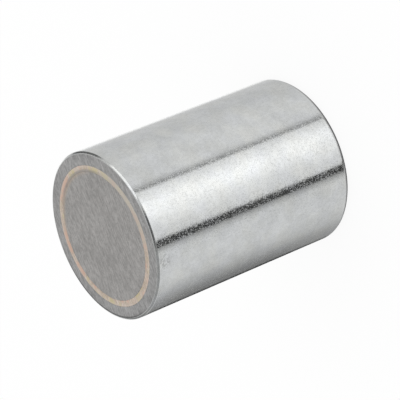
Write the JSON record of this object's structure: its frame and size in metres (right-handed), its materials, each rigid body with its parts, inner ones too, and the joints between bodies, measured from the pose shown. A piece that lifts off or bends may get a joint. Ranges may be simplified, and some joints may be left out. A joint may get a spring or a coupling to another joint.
{
  "type": "deep pot magnet",
  "caption": "Plain deep pot magnet: a plated steel cylinder with a bar magnet core and a thin brass ring, all ground flush at one flat holding face.",
  "frame": {"origin": "centre of the base's flat outer face, at the end away from the magnet's holding face", "axes": "+Z along the pot's axis, from the base to the holding face; X and Y are free, because the part is round"},
  "size_m": [0.025, 0.025, 0.035],
  "materials": {
    "plated_steel": "bright zinc plate with a fine grain outside; the rim is ground bare",
    "ground_magnet": "cast magnet alloy, ground flat, dull grey",
    "ground_brass": "brass, ground flat, pale and matt"
  },
  "bodies": {
    "root": {"steel_pot": "plated_steel", "spacer_sleeve": "ground_brass", "magnet_core": "ground_magnet"}
  },
  "joints": []
}
